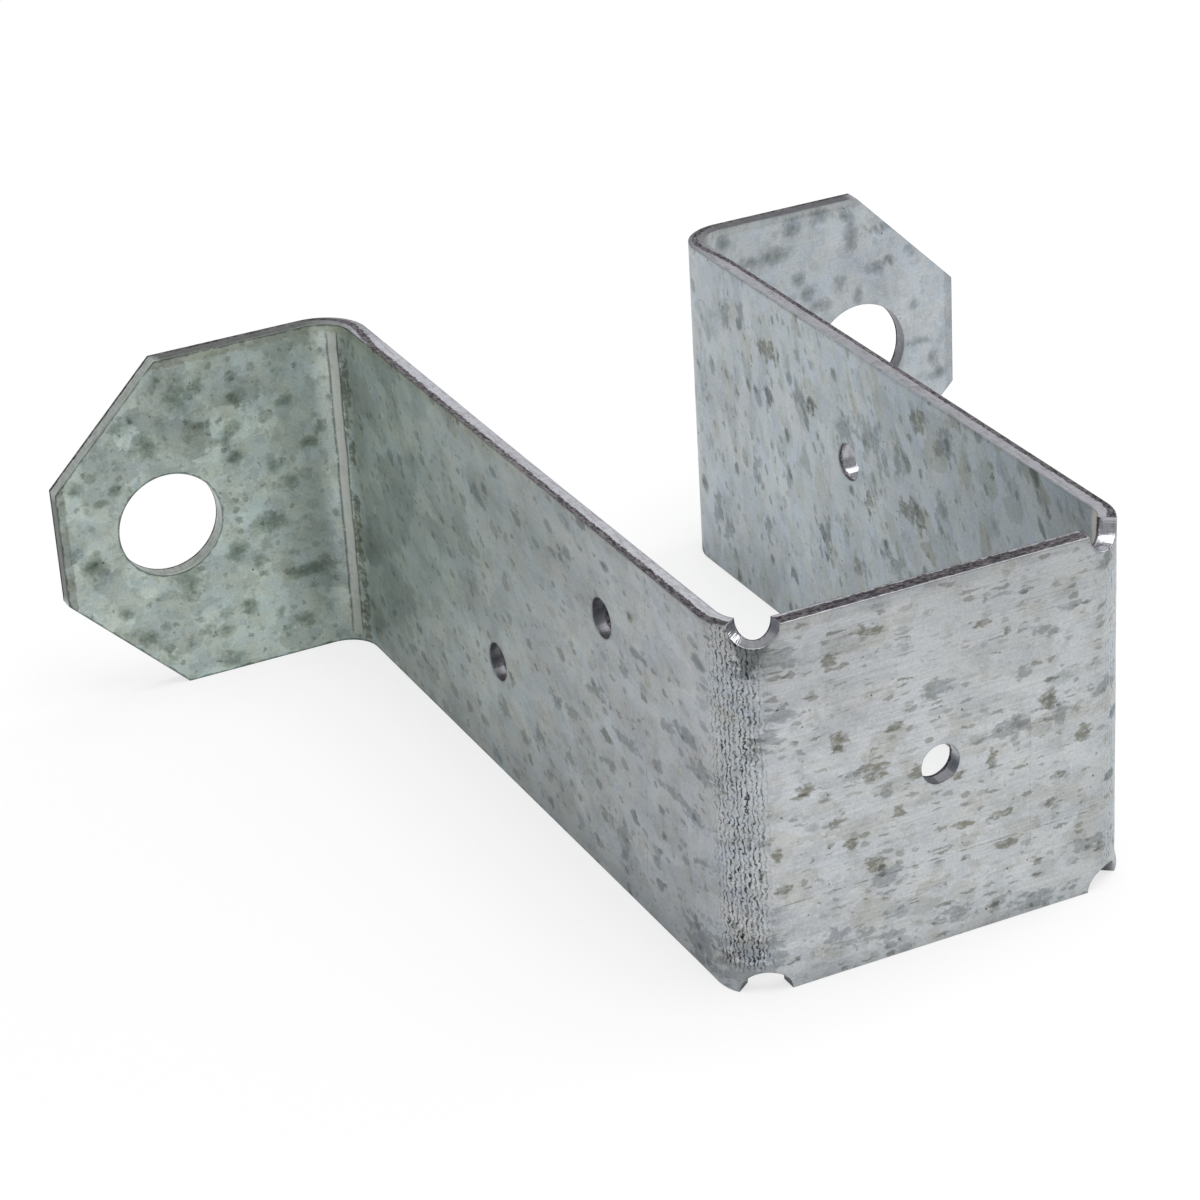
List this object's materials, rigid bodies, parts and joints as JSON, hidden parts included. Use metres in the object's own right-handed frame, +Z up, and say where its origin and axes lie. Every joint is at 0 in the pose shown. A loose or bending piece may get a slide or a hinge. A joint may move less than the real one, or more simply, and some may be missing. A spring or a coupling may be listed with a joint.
{
  "type": "deck post tie",
  "caption": "Folded galvanised sheet tie: a U-shaped pocket holds a post against a deck's rim, and outward flanges bolt it there.",
  "frame": {"origin": "middle of the base, on the surface that the strip's lower edge stands on, half way between the web's outer face and the flanges' back faces", "axes": "+X across the tie from the left leg to the right leg, +Y from the web towards the flanges, +Z up along the post"},
  "size_m": [0.1102, 0.0908, 0.0381],
  "materials": {
    "galvanised_sheet": "hot-dip galvanised sheet with dull spangle, faint rolling marks and grey stains; bare sheared edges"
  },
  "bodies": {
    "root": {"post_tie": "galvanised_sheet"}
  },
  "joints": []
}
